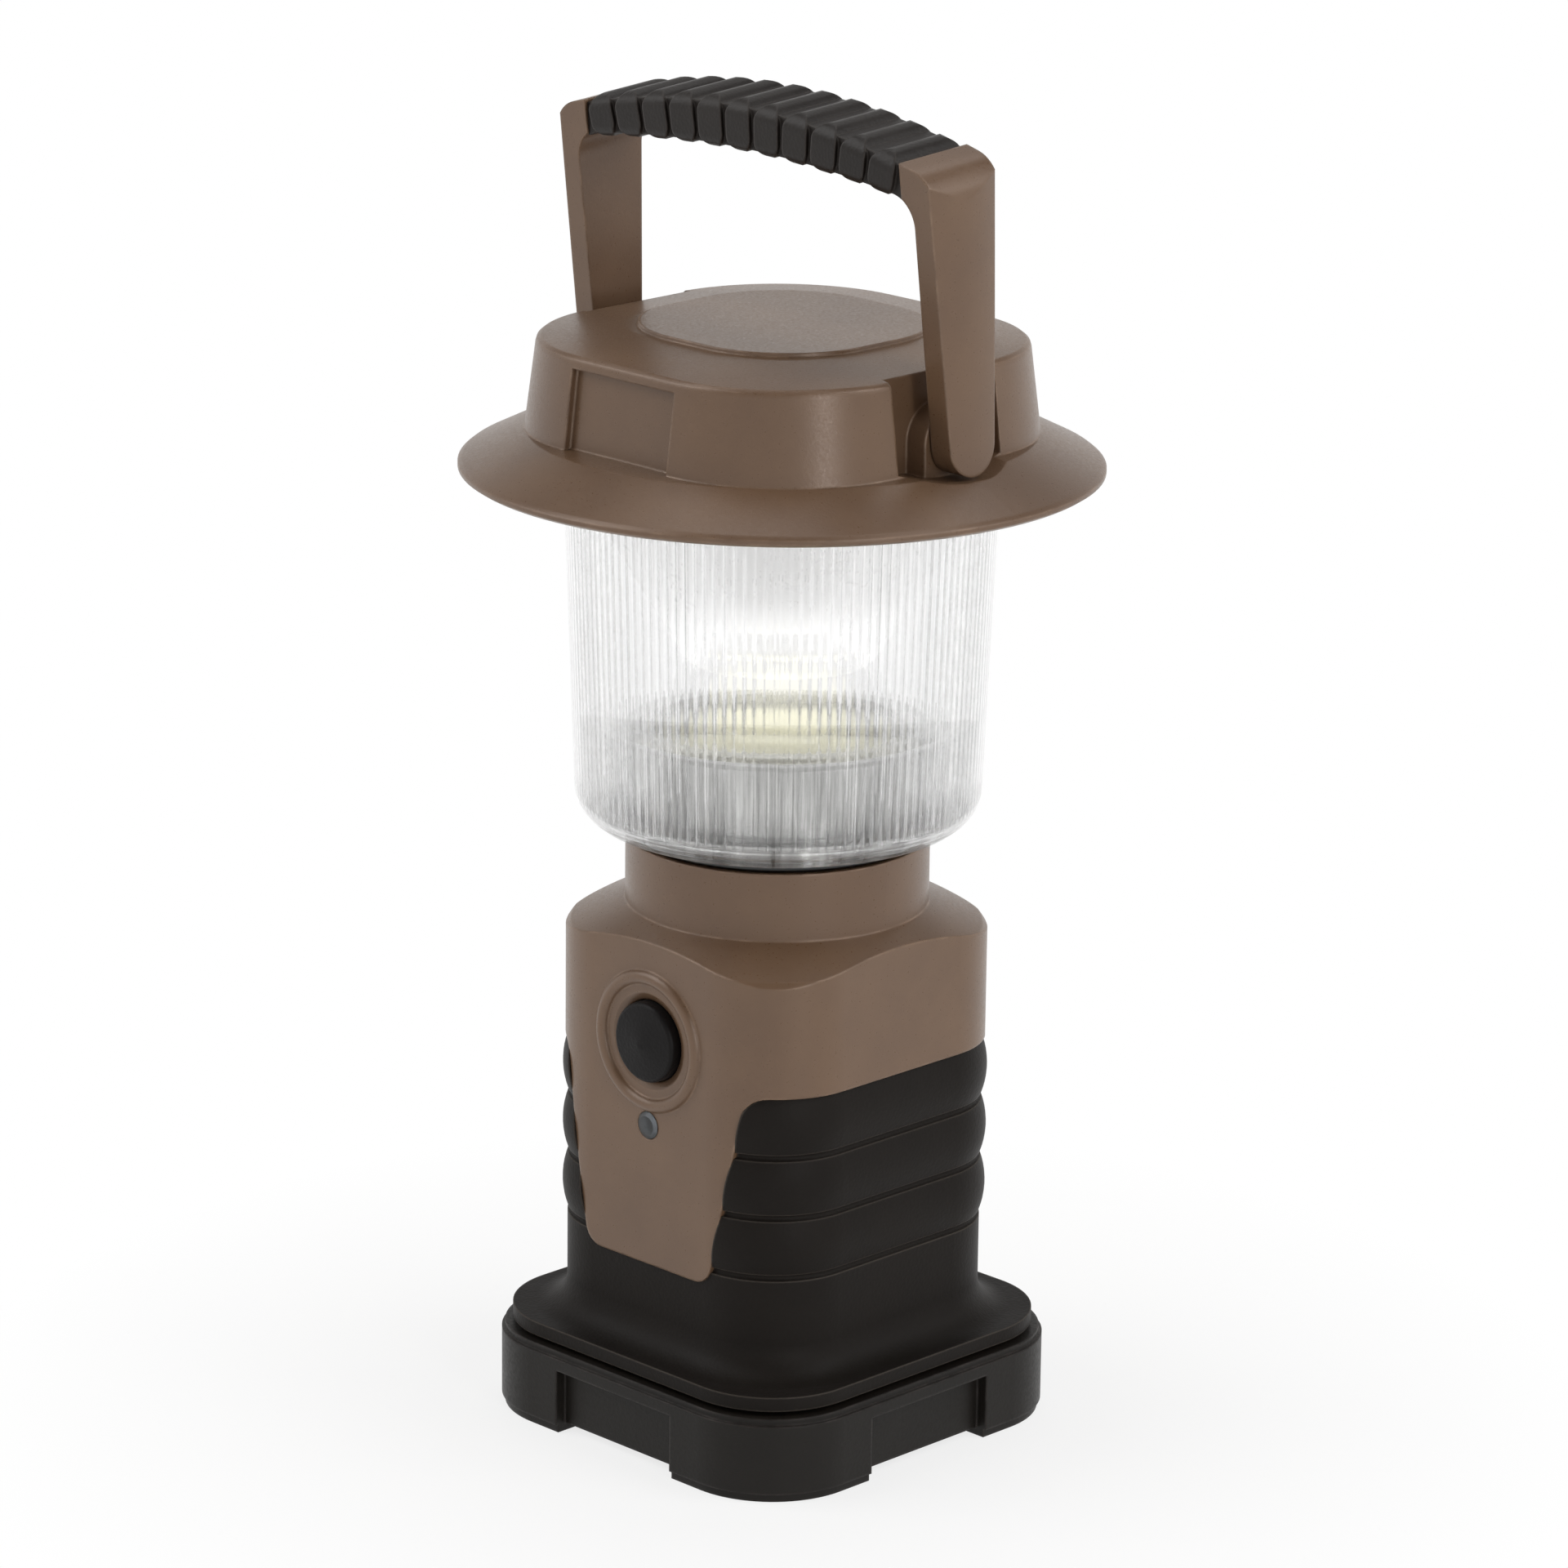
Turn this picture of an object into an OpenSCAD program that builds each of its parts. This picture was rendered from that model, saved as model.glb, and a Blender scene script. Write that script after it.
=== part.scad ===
// Small camping lantern: four AA cells in a square body, a fluted globe with a mirrored cone,
// a hat-shaped cap and a folding bail handle. Millimetres, +Z up, front of the lantern towards -Y.
// The origin lies on the ground at the middle of the base.

/* [Cells] */
// Diameter of one AA cell
cell_d = 14.3; // [13.8:0.1:15]
// Length of one AA cell with its terminal
cell_len = 50.5; // [48:0.5:56]
// Room between two cells
cell_gap = 0.6; // [0.3:0.1:1.5]
// Height left under each cell for its spring
spring_room = 2; // [1.6:0.1:4]
// Thickness of the plates of the cell carrier
carrier_plate_t = 1.1; // [0.9:0.1:2]
// Width of the carrier outside the cells
carrier_margin = 1.9; // [1.6:0.1:3]

/* [Body] */
// Clearance between the carrier and the body's inside
carrier_clearance = 1.7; // [1:0.1:2.5]
// Wall of the body behind the rubber sleeve
body_wall = 1.8; // [1.5:0.1:2.4]
// Corner radius of the body's outline
body_corner_r = 11.2; // [9:0.1:12]
// Rise of the sloping shoulder
shoulder_rise = 2.8; // [2:0.1:5]
// Radius of the round neck
neck_r = 18.05; // [17.5:0.05:19]
// Height of the neck above the shoulder
neck_h = 8.2; // [7.5:0.1:11]
// Thickness of the neck's deck
deck_t = 1.5; // [1.2:0.1:2.5]

/* [Rubber sleeve] */
// Depth of the sleeve's seat in the body
sleeve_t = 1; // [0.8:0.1:1.4]
// Height of one rib
rib_pitch = 7.4; // [5:0.1:8.5]
// Number of ribs above the smooth skirt
rib_count = 3; // [2:1:4]
// Height of the bottom of the lowest rib
rib_foot_z = 24.9; // [20:0.1:26]
// How far each rib bulges out
rib_bulge = 0.75; // [0.4:0.05:0.9]
// Half width of the front window at its foot
window_foot_half = 10.1; // [8:0.1:12]
// Lean of the window's sides from upright, in degrees
window_lean = 11.5; // [0:0.5:14]
// Corner radius at the window's foot
window_r = 2.6; // [1.5:0.1:5]
// Radius of the sleeve's flare above its foot
flare_r = 3.8; // [2:0.1:4.2]

/* [Base] */
// Height of the base tier
base_h = 10.3; // [9.5:0.1:14]
// How far the base reaches past the body on each side
base_reach = 5.6; // [4.5:0.1:8]
// Corner radius of the base
base_corner_r = 12; // [9:0.1:14]
// Half width of the grip recess in each side
recess_half = 9.75; // [6:0.25:11]
// Depth of the grip recess
recess_depth = 1.5; // [0.8:0.1:2.2]
// Height of the feet
foot_h = 1; // [0.6:0.1:1.6]
// Radius of the lock screw's knob
knob_r = 8; // [6:0.1:9]
// Height of the knob
knob_h = 2.8; // [2:0.1:3.4]
// Radius of the lock screw's shank
lock_r = 2; // [1.5:0.1:2.3]

/* [Switch] */
// Height of the button's middle above the ground
button_z = 50.6; // [49:0.1:52]
// Radius of the button
button_r = 4.85; // [4:0.05:5.4]
// Travel of the button
button_travel = 0.8; // [0.4:0.1:0.8]
// Radius of the raised ring round the button
bezel_r = 7.8; // [7:0.1:8.2]
// Radius of the ring's rounded section
bezel_round_r = 0.85; // [0.6:0.05:1]
// Height of the indicator's middle above the ground
indicator_z = 40.2; // [39:0.1:41]
// Radius of the indicator
indicator_r = 1.7; // [1.2:0.1:2]

/* [Globe] */
// Outer radius of the globe at its foot
globe_foot_r = 24.1; // [23:0.1:25]
// Outer radius of the globe at its top
globe_top_r = 25.6; // [25:0.1:26.5]
// Height of the globe
globe_h = 44.3; // [40:0.1:55]
// Wall of the globe in its flutes
globe_wall = 1; // [0.8:0.05:1.4]
// Number of flutes inside the globe
flute_count = 130; // [60:10:140]
// Depth of the flutes
flute_depth = 0.16; // [0.1:0.02:0.3]
// Thickness of the seal under the globe
seal_t = 1.5; // [1:0.1:2.5]

/* [Lamp] */
// Outer radius of the lamp holder
holder_r = 15.3; // [14:0.1:17]
// Height of the lamp holder
holder_h = 10; // [9:0.1:14]
// Radius of the lens
lens_r = 11.5; // [10.5:0.1:12]
// Radius of the light emitting disc
emitter_r = 7.8; // [5:0.1:8]
// Radius of the mirrored cone where it leaves its plate
cone_root_r = 16; // [13:0.5:18]
// Radius of the cone's blunt end
cone_tip_r = 7.5; // [5:0.1:9]
// Length of the cone
cone_len = 22.4; // [16:0.1:28]

/* [Cap] */
// Radius of the brim
brim_r = 37.8; // [35:0.1:42]
// Thickness of the brim's rim
rim_t = 1.3; // [1:0.1:2]
// Height of the brim's root above its rim
brim_rise = 4.9; // [4:0.1:6]
// Height of the dome's edge above the brim's rim
dome_h = 15.7; // [15:0.1:20]
// Height of the pad above the dome's edge
pad_rise = 1.8; // [1.2:0.1:2.6]
// Half width of the pad
pad_half = 15.6; // [12:0.1:17]
// Half width of the recesses in the sides of the cap
pocket_half = 8.4; // [7:0.1:9]

/* [Handle] */
// Lean of the handle towards the front, in degrees
handle_lean = 4; // [0:1:10]
// Reach of the handle from its pivot to the top of the grip
handle_reach = 36.8; // [34:0.1:60]
// Thickness of the legs
leg_t = 3.4; // [2.6:0.1:4.5]
// Half width of each leg at its pivot
leg_foot_half = 3.6; // [3.2:0.1:4.2]
// Half width of the handle at its top
leg_top_half = 5.5; // [4.5:0.1:7]
// Radius of the handle's outer corners
handle_corner_r = 4.5; // [3.6:0.1:6]
// Radius of the pivot pins
pivot_r = 1.8; // [1.5:0.1:2.4]
// Number of ribs on the grip
grip_ribs = 11; // [7:1:15]

/* [Hidden] */
$fn = 64;
// Running clearance of a pin in its bore
run_fit = 0.05;
// Clearance between pieces that only lie side by side
side_gap = 0.3;
// Overlap that lets a cut pass cleanly through a face
eps = 0.01;

// Strips, rivets and springs that join the cells
strip_t = 0.4;
rivet_r = 1.2;
spring_wire = 0.5;
pickup_r = 2;
pickup_step = 0.5;

// Levels of the base and the cell carrier, from the ground up
knob_roof_z = foot_h + knob_h + 0.4;
carrier_z = knob_roof_z + 1.2;
cell_z = carrier_z + carrier_plate_t + spring_room;
cell_top_z = cell_z + cell_len;
carrier_roof_z = cell_top_z + strip_t;
carrier_top_z = carrier_roof_z + carrier_plate_t;
seam_t = 0.3;
flange_z = base_h + seam_t;
flange_t = 1.2;

// Widths of the carrier, the body and the base
cell_at = (cell_d + cell_gap) / 2;
carrier_half = cell_at + cell_d / 2 + carrier_margin;
carrier_screw_at = carrier_half - 3;
carrier_corner_r = 4;
cavity_half = carrier_half + carrier_clearance;
seat_half = cavity_half + body_wall;
body_half = seat_half + sleeve_t;
body_at = body_half - body_corner_r;
base_half = body_half + base_reach;
foot_half = body_half + 4.5;
foot_corner_r = foot_half * 0.45;
spigot_h = 3.6;

// Levels of the body, the neck and the globe
cavity_top_z = carrier_top_z + 0.3;
shoulder_z = cavity_top_z + 0.4;
neck_foot_z = shoulder_z + shoulder_rise;
neck_top_z = neck_foot_z + neck_h;
deck_z = neck_top_z - deck_t;
neck_bore_r = neck_r - 1.8;
corner_reach = body_at * sqrt(2) + body_corner_r;
globe_z = neck_top_z + seal_t;
globe_floor_t = 1.6;
globe_top_z = globe_z + globe_h;
globe_corner_r = 4.5;
bowl_corner_r = 1.2;
flute_points = 6;

// The board of the driver and the pieces screwed under the deck
board_z = carrier_top_z + 1.2;
board_t = 1.6;
board_r = neck_bore_r - 0.6;
board_boss_x = 12;
insert_r = 3.2;
insert_h = 6;
insert_z = board_z - 0.6;
insert_boss_r = insert_r + 1.4;
lock_top_z = insert_z + insert_h - 0.4;
screw_r = 1;
screw_head_r = 2;
screw_head_h = 1.3;
deck_screw_at = 10.5;
wire_r = 0.6;
wire_x = 1.6;
wire_y = 7.5;
switch_wire_r = 0.4;
switch_wire_x = 2;
switch_wire_lap = 4;

// The switch, seen from the front
bay_wall = 1.6;
bay_half = 11;
bay_foot_z = indicator_z - 4.4;
bay_top_z = button_z + 7.4;
bezel_dish = 0.5;
button_flange_t = 0.7;
button_flange_r = button_r + 1;
switch_gap = 0.05;
switch_depth = 1.9;
switch_board_t = 0.8;
switch_face = bay_wall + switch_gap + button_flange_t + button_travel + switch_gap;
switch_back = switch_face + switch_depth;
switch_board_half = 9.4;
switch_foot_z = bay_foot_z + 0.5;
switch_head_z = bay_top_z - 0.5;
stake_x = 7.7;
stake_hole_r = 0.75;
stake_inset = 2;

// The sleeve
sleeve_top_z = rib_foot_z + rib_count * rib_pitch;
groove_x = seat_half + 0.55;
groove_r = 0.4;
groove_sink = 0.12;
skirt_x = seat_half + 0.7;
window_foot_z = rib_foot_z - 2;

// The lamp
holder_z = globe_z + globe_floor_t;
holder_top_z = holder_z + holder_h;
shelf_z = holder_z + holder_h - 5.8;
shelf_t = 1.2;
sink_t = 1;
led_board_t = 1;
emitter_t = 0.5;
led_board_r = lens_r - 0.7;
led_screw_at = led_board_r - 1.3;
lens_z = holder_top_z - 1.9;

// The cap
rim_z = globe_top_z - 1.7;
brim_root_z = rim_z + brim_rise;
dome_edge_z = rim_z + dome_h;
pad_top_z = dome_edge_z + pad_rise;
pad_step = 0.5;
dome_half = globe_top_r + 1.4;
dome_at = 7.4;
dome_taper = 1.3;
cap_bore_r = globe_top_r + 0.15;
cavity_r = dome_half - dome_taper - 2.4;
cap_roof_z = dome_edge_z - 1.4;
pivot_z = rim_z + 8.1;
lug_count = 4;
lug_reach = 0.8;
lug_h = 1;
lug_z = globe_top_z - lug_h - 0.2;
skirt_r = globe_top_r + 1.9;
skirt_drop = 1.1;
ear_half = 4.3;
ear_face = dome_half + 0.1;
pocket_floor = dome_half - 2.8;
liner_x = pocket_floor - 1.8;
pocket_floor_z = pivot_z - leg_foot_half - 0.4;
pocket_dip_r = 30;
cap_screw_at = 20;
plate_t = 1;
boss_bite = 6;
plate_z = globe_top_z - 1.7;

// The handle, measured from its pivot
leg_in = ear_face + side_gap;
leg_out = leg_in + leg_t;
leg_crown_r = 18;
arch_r = 105;
arch_under_r = 170;
arch_mid_t = 6.2;
handle_inner_r = handle_corner_r - 0.5;
grip_skin = 0.8;
grip_half = leg_in - 1.8;
grip_edge_r = 2;
grip_under_edge_r = 1.4;
grip_step = 2 * asin(grip_half / arch_r) / grip_ribs;
grip_rib_r = min(0.4 * arch_r * grip_step * PI / 180, arch_mid_t / 3);
washer_t = 0.8;
pin_in = liner_x - 0.1;
pin_screw_r = 0.9;
pin_bite = 3.8;

// ---------------------------------------------------------------- shared shapes

// Points of an arc round a centre, both ends included
function arc(centre, r, from, to, steps = 6) =
    [for (i = [0:steps]) let (a = from + (to - from) * i / steps) centre + r * [cos(a), sin(a)]];

// Flat outline of a square with round corners
module rounded_square(half, corner) {
    reach = half - corner;
    square([2 * half, 2 * reach], center = true);
    square([2 * reach, 2 * half], center = true);
    for (x = [-reach, reach], y = [-reach, reach]) translate([x, y]) circle(r = corner);
}

// Upright block with round corners between two levels
module block(half, corner, z0, z1) {
    translate([0, 0, z0]) linear_extrude(z1 - z0) rounded_square(half, corner);
}

// Carries a profile once round a square whose corner centres lie at the given reach.
// In the profile, x is the distance from the corner centres and y the height.
module carry_round(reach) {
    for (turn = [0:90:270]) rotate(turn) {
        translate([reach, reach]) rotate_extrude(angle = 90) children();
        rotate([90, 0, 0]) linear_extrude(2 * reach, center = true) translate([reach, 0]) children();
    }
}

// Places a shape on the front face, its own +Z pointing out of the lantern
module at_front(z) {
    translate([0, -body_half, z]) rotate([90, 0, 0]) children();
}

// Round plug between two levels
module disc(r, z0, z1) {
    translate([0, 0, z0]) cylinder(r = r, h = z1 - z0);
}

// Copies at equal angles round the axis
module ring_of(count, at, first = 0) {
    for (i = [0:count - 1]) rotate(first + i * 360 / count) translate([at, 0, 0]) children();
}

// Pan-head screw, the underside of its head at the origin and its shank along +Z
module screw(length, r = screw_r, head_r = screw_head_r, head_h = screw_head_h) {
    difference() {
        rotate_extrude() polygon(concat(
            [[0, length], [r, length], [r, 0], [head_r, 0], [head_r, -head_h * 0.4]],
            [[head_r * 0.72, -head_h], [0, -head_h]]));
        for (a = [0, 90]) rotate(a)
            translate([-head_r * 0.55, -0.2, -head_h - eps]) cube([head_r * 1.1, 0.4, head_h * 0.5]);
    }
}

// ---------------------------------------------------------------- base

module base_cover() color("#2b2827") {
    pocket_half_w = seat_half + side_gap;
    pocket_corner = body_corner_r - sleeve_t + side_gap;
    difference() {
        union() {
            block(base_half, base_corner_r, foot_h, base_h - 0.8);
            block(base_half - 0.4, base_corner_r - 0.4, base_h - 0.8, base_h);
            intersection() {
                block(base_half - 0.4, base_corner_r - 0.4, 0, foot_h);
                for (turn = [0:90:270]) rotate(turn)
                    translate([recess_half, recess_half, 0]) cube([base_half, base_half, foot_h]);
            }
        }
        block(pocket_half_w, pocket_corner, carrier_z, base_h + 1);
        for (turn = [0:90:270]) rotate(turn)
            translate([-recess_half, base_half - recess_depth, -1])
                cube([2 * recess_half, recess_depth + 1, base_h - 2.3 + 1]);
        disc(knob_r + 0.6, -1, knob_roof_z);
        disc(lock_r + 0.15, 0, carrier_z + 1);
        for (side = [-1, 1]) translate([side * carrier_screw_at, 0, 0])
            disc(0.8, carrier_z - 3.2, carrier_z + 1);
    }
}

module base_seal() color("#171515") {
    difference() {
        block(foot_half - 1.4, foot_corner_r - 1.4, base_h, flange_z);
        block(foot_half - 2.8, foot_corner_r - 2.8, base_h - 1, flange_z + 1);
    }
}

module lock_screw() color("#a9a9a4") {
    grips = 24;
    difference() {
        union() {
            disc(knob_r, foot_h + 0.2, knob_roof_z - 0.2);
            disc(lock_r, knob_roof_z - 1, lock_top_z);
        }
        ring_of(grips, knob_r + 0.15) disc(0.5, 0, knob_roof_z);
        translate([-knob_r * 0.75, -0.8, 0]) cube([knob_r * 1.5, 1.6, foot_h + 1.2]);
        // groove for the clip
        translate([0, 0, carrier_z + 0.1]) difference() {
            disc(lock_r + 1, 0, 0.6);
            disc(lock_r - 0.5, -1, 1);
        }
    }
}

module lock_clip() color("#8d8f92") {
    difference() {
        disc(lock_r + 1.6, carrier_z + 0.1, carrier_z + 0.7);
        disc(lock_r - 0.5, carrier_z - 1, carrier_z + 2);
        translate([0, -0.9, carrier_z - 1]) cube([lock_r + 2, 1.8, 3]);
    }
}

// ---------------------------------------------------------------- cells and their carrier

// Plate of the carrier, notched at the front to pass the switch board and its wires
module carrier_outline() {
    notch_y = body_half - switch_back - switch_board_t - 0.3;
    wire_notch_y = notch_y - 2 * switch_wire_r;
    difference() {
        rounded_square(carrier_half, carrier_corner_r);
        translate([-bay_half - 0.5, -carrier_half - 1])
            square([2 * bay_half + 1, carrier_half + 1 - notch_y]);
        translate([-switch_wire_x - 1, -carrier_half - 1])
            square([2 * switch_wire_x + 2, carrier_half + 1 - wire_notch_y]);
        circle(r = lock_r + 2);
    }
}

module battery_carrier() color("#3a3d40") {
    post = carrier_half - (cell_at + cell_d / 2 * 0.8);
    translate([0, 0, carrier_z]) linear_extrude(carrier_plate_t) difference() {
        carrier_outline();
        for (side = [-1, 1]) translate([side * carrier_screw_at, 0]) circle(r = 0.9);
    }
    translate([0, 0, carrier_roof_z]) linear_extrude(carrier_plate_t) difference() {
        carrier_outline();
        for (side = [-1, 1]) translate([cell_at, side * cell_at]) circle(r = rivet_r);
    }
    intersection() {
        block(carrier_half, carrier_corner_r, carrier_z, carrier_top_z);
        for (turn = [0:90:270]) rotate(turn) difference() {
            translate([carrier_half - post, carrier_half - post, carrier_z])
                cube([post, post, carrier_top_z - carrier_z]);
            translate([cell_at, cell_at, carrier_z - 1])
                cylinder(r = cell_d / 2 + 0.15, h = cell_len * 2);
        }
    }
}

// Each cell stands the other way up from its neighbours
module aa_cells() {
    nub_h = 1.2;
    for (i = [0:3]) rotate(i * 90) translate([cell_at, cell_at, cell_z + cell_len / 2])
        mirror([0, 0, i % 2]) color(i % 2 == 0 ? "#b98a3c" : "#3c3f44")
            rotate_extrude() polygon([[0, -cell_len / 2], [cell_d / 2 - 0.6, -cell_len / 2],
                [cell_d / 2, -cell_len / 2 + 0.6], [cell_d / 2, cell_len / 2 - nub_h - 0.6],
                [cell_d / 2 - 0.6, cell_len / 2 - nub_h], [cell_d * 0.19, cell_len / 2 - nub_h],
                [cell_d * 0.19, cell_len / 2], [0, cell_len / 2]]);
}

// Flat coils of a spring, the widest at the foot, tied by a short bar
module flat_spring(r, step, turns, height) {
    for (k = [0:turns - 1]) translate([0, 0, spring_wire / 2 + k * (height - spring_wire) / (turns - 1)])
        rotate_extrude() translate([r - k * step, 0]) circle(d = spring_wire);
    translate([r - (turns - 1) * step, -spring_wire / 2, 0.1])
        cube([(turns - 1) * step, spring_wire, height - 0.2]);
}

module cell_springs() color("#c9cbcd") {
    for (i = [0:3]) rotate(i * 90)
        translate([cell_at, cell_at, carrier_z + carrier_plate_t + strip_t])
            flat_spring(4.4, 0.9, 3, spring_room - strip_t);
}

// Nickel strips join the cells in a row, and two riveted pads lead up to the carrier's roof
module contact_strips() color("#c4c6c8") {
    strip_half = 3;
    length = 2 * (cell_at + strip_half);
    for (side = [-1, 1]) translate([-length / 2, side * cell_at - strip_half, carrier_z + carrier_plate_t])
        cube([length, 2 * strip_half, strip_t]);
    translate([-cell_at - strip_half, -length / 2, cell_top_z]) cube([2 * strip_half, length, strip_t]);
    for (side = [-1, 1]) translate([cell_at, side * cell_at, cell_top_z]) {
        translate([-strip_half, -strip_half, 0]) cube([2 * strip_half, 2 * strip_half, strip_t]);
        cylinder(r = rivet_r, h = strip_t + carrier_plate_t);
    }
}

// Springs on the carrier's roof that touch the driver board
module pickup_springs() color("#c9cbcd") {
    for (side = [-1, 1]) translate([cell_at, side * cell_at, carrier_top_z])
        flat_spring(pickup_r, pickup_step, 2, board_z - carrier_top_z);
}

// Small screws that hold the carrier to the base
module carrier_screws() color("#b4b6b8") {
    for (side = [-1, 1]) translate([side * carrier_screw_at, 0, carrier_z + carrier_plate_t])
        mirror([0, 0, 1]) screw(carrier_plate_t + 3, 0.8, 1.6, 0.8);
}

// ---------------------------------------------------------------- body

// Area of the front window, drawn in x and height
module window_outline(top) {
    slope = tan(window_lean);
    side = function (z) window_foot_half + (z - window_foot_z) * slope;
    foot = [side(window_foot_z + window_r) - window_r / cos(window_lean), window_foot_z + window_r];
    lip_r = 2.8;
    lip = [side(sleeve_top_z - lip_r) + lip_r / cos(window_lean), sleeve_top_z - lip_r];
    right = concat(arc(foot, window_r, -90, -window_lean), arc(lip, lip_r, 180 - window_lean, 90),
        [[lip[0], top]]);
    left = [for (i = [len(right) - 1:-1:0]) [-right[i][0], right[i][1]]];
    polygon(concat(right, left));
}

module window_space(top) {
    rotate([90, 0, 0]) linear_extrude(body_half + 3) window_outline(top);
}

// Hill that the shoulder is turned from: level at the neck, falling to the corners
module shoulder_hill() {
    rotate_extrude() polygon([[0, 0], [corner_reach + 1, 0], [corner_reach + 1, shoulder_z - 1.6],
        [corner_reach, shoulder_z - 0.7], [corner_reach - 0.6, shoulder_z], [neck_r, neck_foot_z],
        [0, neck_foot_z]]);
}

module body_shell() color("#86705f") {
    seat_corner = body_corner_r - sleeve_t;
    cavity_corner = body_at > 0 ? cavity_half - body_at : 5;
    difference() {
        union() {
            block(seat_half, seat_corner, flange_z - spigot_h, sleeve_top_z);
            block(foot_half - 1.1, foot_corner_r - 1.1, flange_z, flange_z + flange_t);
            intersection() {
                block(body_half, body_corner_r, sleeve_top_z, neck_foot_z);
                shoulder_hill();
            }
            intersection() {
                block(body_half, body_corner_r, window_foot_z, sleeve_top_z + 1);
                window_space(sleeve_top_z + 1);
            }
            disc(neck_r, shoulder_z - 1, neck_top_z);
            at_front(button_z) rotate_extrude() translate([bezel_r, -0.1]) circle(r = bezel_round_r);
        }
        block(cavity_half, cavity_corner, flange_z - spigot_h - 1, cavity_top_z);
        disc(neck_bore_r, cavity_top_z - 1, deck_z);
        // thinner wall round the switch
        translate([-bay_half, -body_half + bay_wall, bay_foot_z])
            cube([2 * bay_half, 6, bay_top_z - bay_foot_z]);
        // dished button hole and the hole for the indicator
        at_front(button_z) {
            translate([0, 0, -bay_wall - 1]) cylinder(r = button_r + 0.15, h = 6);
            translate([0, 0, -bezel_dish]) cylinder(r1 = button_r + 0.15, r2 = bezel_r, h = bezel_dish + 1);
        }
        at_front(indicator_z) translate([0, 0, -bay_wall - 1]) cylinder(r = indicator_r - 0.2, h = 6);
        at_front(indicator_z) translate([0, 0, -0.5]) cylinder(r = indicator_r, h = 6);
        // wires and screws through the deck
        translate([0, wire_y, deck_z - 1]) cylinder(r = wire_x + wire_r + 0.4, h = deck_t + 2);
        ring_of(3, deck_screw_at, 270) disc(screw_r + 0.1, deck_z - 1, neck_top_z + 1);
    }
    // pins that hold the switch board
    for (x = [-stake_x, stake_x], z = [switch_foot_z + stake_inset, switch_head_z - stake_inset])
        translate([x, -body_half + bay_wall, z]) rotate([-90, 0, 0]) {
            cylinder(r = 2 * stake_hole_r, h = switch_back - bay_wall);
            cylinder(r = stake_hole_r - run_fit, h = switch_back - bay_wall + switch_board_t);
        }
    // bosses under the deck
    difference() {
        disc(insert_boss_r, insert_z, deck_z + eps);
        disc(insert_r, insert_z - 1, insert_z + insert_h);
        disc(lock_r + 0.1, insert_z - 1, insert_z + insert_h + 1);
    }
    for (side = [-1, 1]) translate([side * board_boss_x, 0, 0]) difference() {
        disc(2.1, board_z + board_t, deck_z + eps);
        disc(screw_r, board_z, board_z + board_t + 4.5);
    }
}

// Wall of the sleeve, from the flare at its foot to the ribs, with a groove under each rib
module sleeve_profile(flare_z) {
    seat_x = seat_half - body_at;
    rib_r = (pow(rib_pitch / 2, 2) + pow(rib_bulge, 2)) / (2 * rib_bulge);
    difference() {
        union() {
            translate([seat_x, flange_z + flange_t])
                square([skirt_x - seat_half, rib_foot_z - flange_z - flange_t]);
            translate([seat_x, rib_foot_z]) square([groove_x - seat_half, sleeve_top_z - rib_foot_z]);
            for (k = [0:rib_count - 1]) intersection() {
                translate([groove_x - body_at + rib_bulge - rib_r, rib_foot_z + (k + 0.5) * rib_pitch])
                    circle(r = rib_r);
                translate([seat_x, rib_foot_z + k * rib_pitch]) square([5, rib_pitch]);
            }
        }
        for (k = [0:rib_count - 1])
            translate([groove_x - body_at + groove_sink, rib_foot_z + k * rib_pitch]) circle(r = groove_r);
    }
    difference() {
        translate([seat_x, flare_z]) square([skirt_x - seat_half + flare_r, flare_r]);
        translate([skirt_x - body_at + flare_r, flare_z + flare_r]) circle(r = flare_r);
    }
}

module grip_sleeve() color("#1d1a1a") {
    flare_z = flange_z + flange_t + 0.8;
    difference() {
        union() {
            carry_round(body_at) sleeve_profile(flare_z);
            difference() {
                block(foot_half, foot_corner_r, flange_z + 0.3, flare_z);
                block(seat_half, body_corner_r - sleeve_t, flange_z - 1, flare_z + 1);
                block(foot_half - 1.1, foot_corner_r - 1.1, flange_z - 1, flange_z + flange_t);
            }
        }
        window_space(sleeve_top_z + 1);
    }
}

// ---------------------------------------------------------------- switch

module power_button() color("#1b1b1d") {
    at_front(button_z) rotate_extrude() polygon(concat(
        [[0, -bay_wall - switch_gap - button_flange_t]],
        [[button_flange_r, -bay_wall - switch_gap - button_flange_t]],
        [[button_flange_r, -bay_wall - switch_gap], [button_r, -bay_wall - switch_gap]],
        [[button_r, 0.4]], arc([button_r - 0.6, 0.4], 0.6, 15, 70, 3), [[0, 1.4]]));
}

module switch_plunger() color("#d8d5cb") {
    at_front(button_z) translate([0, 0, -switch_back + button_travel + 0.2])
        cylinder(r = 1.2, h = switch_back - button_travel - 0.2 - bay_wall - switch_gap - button_flange_t);
}

module switch_housing() color("#9a9da1") {
    at_front(button_z) difference() {
        translate([-3, -3, -switch_back]) cube([6, 6, switch_depth]);
        translate([0, 0, -switch_back - 1]) cylinder(r = 1.3, h = switch_depth + 2);
    }
}

module switch_board() color("#2f6b3c") {
    translate([0, -body_half + switch_back, 0]) rotate([-90, 0, 0])
        difference() {
            translate([-switch_board_half, -switch_head_z, 0])
                cube([2 * switch_board_half, switch_head_z - switch_foot_z, switch_board_t]);
            for (x = [-stake_x, stake_x], z = [switch_foot_z + stake_inset, switch_head_z - stake_inset])
                translate([x, -z, -1]) cylinder(r = stake_hole_r, h = switch_board_t + 2);
        }
}

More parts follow.
